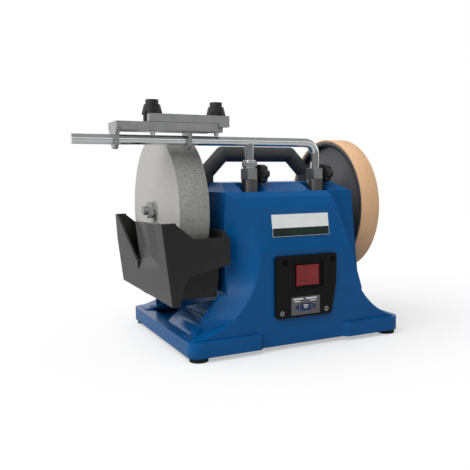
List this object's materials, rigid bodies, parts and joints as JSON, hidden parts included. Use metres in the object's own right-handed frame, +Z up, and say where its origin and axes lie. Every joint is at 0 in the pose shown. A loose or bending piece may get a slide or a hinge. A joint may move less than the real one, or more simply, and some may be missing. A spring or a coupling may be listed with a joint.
{
  "type": "wet grinding sharpener",
  "caption": "Bench wet sharpener with a slow grinding stone in a water trough, a leather honing wheel, a chromed tool support bar with a clamping jig, and a carrying handle.",
  "frame": {"origin": "bottom centre of the bounding box, on the surface that the feet stand on", "axes": "+X along the main shaft towards the honing wheel, -Y the operator's side with the switch, +Z up"},
  "size_m": [0.444, 0.256, 0.321],
  "materials": {
    "housing_blue": "satin blue moulded plastic shell",
    "cover_steel": "plain pressed sheet steel",
    "dark_steel": "blackened turned steel",
    "foot_rubber": "soft black rubber",
    "handle_black": "matt black moulded plastic",
    "foot_brown": "matt dark brown plastic",
    "zinc_steel": "bright zinc plated steel",
    "knob_black": "matt black moulded knob",
    "chrome_bar": "bright chromed bar",
    "cast_aluminium": "tumbled cast aluminium",
    "shaft_steel": "ground stainless steel",
    "stone_grey": "fine even grindstone",
    "bush_bronze": "sintered bronze",
    "copper_winding": "lacquered copper wire",
    "wheel_black": "matt dark grey moulded wheel",
    "drive_rubber": "ground black rubber",
    "leather_tan": "smooth pale vegetable tanned leather",
    "plate_black": "fine grained black plastic",
    "screw_steel": "plated pan head screw",
    "rocker_red": "glossy translucent red",
    "label_grey": "printed grey foil label",
    "plate_white": "white printed plate",
    "strip_green": "dark green printed strip",
    "trough_grey": "matt dark grey moulded plastic"
  },
  "bodies": {
    "machine": {"housing": "housing_blue", "bottom_cover": "cover_steel", "cover_screws": "dark_steel", "rubber_feet": "foot_rubber", "foot_screws": "dark_steel", "handle": "handle_black", "handle_feet": "foot_brown", "handle_screws": "dark_steel", "guide_sleeve_left": "dark_steel", "guide_sleeve_right": "dark_steel", "clamp_collar_left": "zinc_steel", "clamp_collar_right": "zinc_steel", "bush_left": "bush_bronze", "bush_right": "bush_bronze", "motor_stator": "cover_steel", "motor_windings": "copper_winding", "motor_bell_left": "cast_aluminium", "motor_bell_right": "cast_aluminium", "motor_bearings": "zinc_steel", "motor_tie_bolts": "dark_steel", "motor_bracket": "cover_steel", "bracket_bolts": "dark_steel", "run_capacitor": "cast_aluminium", "switch_plate": "plate_black", "switch_screws": "screw_steel", "switch_body": "plate_black", "switch_label": "label_grey", "name_plate": "plate_white", "name_strip": "strip_green", "cable_gland": "handle_black", "vent_grille": "handle_black", "trough_rails": "handle_black"},
    "wheels": {"main_shaft": "shaft_steel", "grinding_stone": "stone_grey", "stone_flange": "zinc_steel", "stone_washer": "zinc_steel", "stone_nut": "zinc_steel", "shaft_spacers": "zinc_steel", "honing_wheel": "wheel_black", "friction_ring": "drive_rubber", "leather_band": "leather_tan", "honing_nut": "zinc_steel"},
    "motor_armature": {"motor_rotor": "zinc_steel", "motor_shaft": "zinc_steel", "drive_roller": "zinc_steel", "motor_fan": "handle_black"},
    "tool_support": {"support_bar": "chrome_bar", "support_leg": "chrome_bar"},
    "height_wheel": {"height_nut": "zinc_steel"},
    "lock_left": {"lock_screw_left": "zinc_steel", "lock_knob_left": "knob_black"},
    "lock_right": {"lock_screw_right": "zinc_steel", "lock_knob_right": "knob_black"},
    "jig": {"jig_base": "cast_aluminium", "jig_studs": "zinc_steel"},
    "jig_clamp": {"jig_clamp_bar": "cast_aluminium"},
    "jig_knob_l": {"jig_knob_left": "knob_black"},
    "jig_knob_r": {"jig_knob_right": "knob_black"},
    "rocker": {"switch_rocker": "rocker_red"},
    "trough": {"water_trough": "trough_grey"}
  },
  "joints": [
    {"name": "wheels_spin", "type": "hinge", "parent": "machine", "child": "wheels", "pos_m": [0.062, 0, 0.182], "axis": [1, 0, 0], "continuous": true},
    {"name": "armature_spin", "type": "hinge", "parent": "machine", "child": "motor_armature", "pos_m": [0.062, 0, 0.0992], "axis": [1, 0, 0], "continuous": true},
    {"name": "support_lift", "type": "slide", "parent": "machine", "child": "tool_support", "axis": [0, 0, 1], "range_m": [0, 0.05]},
    {"name": "height_wheel_turn", "type": "hinge", "parent": "tool_support", "child": "height_wheel", "pos_m": [0.006, -0.08, 0.235], "axis": [0, 0, 1], "continuous": true},
    {"name": "lock_left_turn", "type": "hinge", "parent": "machine", "child": "lock_left", "pos_m": [0.006, -0.08, 0.23025], "axis": [0.9063, 0.4226, 0], "continuous": true},
    {"name": "lock_right_turn", "type": "hinge", "parent": "machine", "child": "lock_right", "pos_m": [0.1076, -0.08, 0.23025], "axis": [0.9063, 0.4226, 0], "continuous": true},
    {"name": "jig_slide", "type": "slide", "parent": "tool_support", "child": "jig", "axis": [1, 0, 0], "range_m": [-0.04, 0.03]},
    {"name": "jig_clamp_lift", "type": "slide", "parent": "jig", "child": "jig_clamp", "axis": [0, 0, 1], "range_m": [0, 0.006]},
    {"name": "jig_knob_l_turn", "type": "hinge", "parent": "jig_clamp", "child": "jig_knob_l", "pos_m": [-0.125, -0.08, 0.31], "axis": [0, 0, 1], "continuous": true},
    {"name": "jig_knob_r_turn", "type": "hinge", "parent": "jig_clamp", "child": "jig_knob_r", "pos_m": [-0.041, -0.08, 0.31], "axis": [0, 0, 1], "continuous": true},
    {"name": "rocker_tilt", "type": "hinge", "parent": "machine", "child": "rocker", "pos_m": [0.068, -0.119, 0.097], "axis": [0, 0, 1], "range_deg": [-5, 5]},
    {"name": "trough_drop", "type": "slide", "parent": "machine", "child": "trough", "axis": [0, 0, 1], "range_m": [-0.012, 0]}
  ],
  "couplings": [
    {"joint": "armature_spin", "follows": "wheels_spin", "ratio": 12.857}
  ]
}
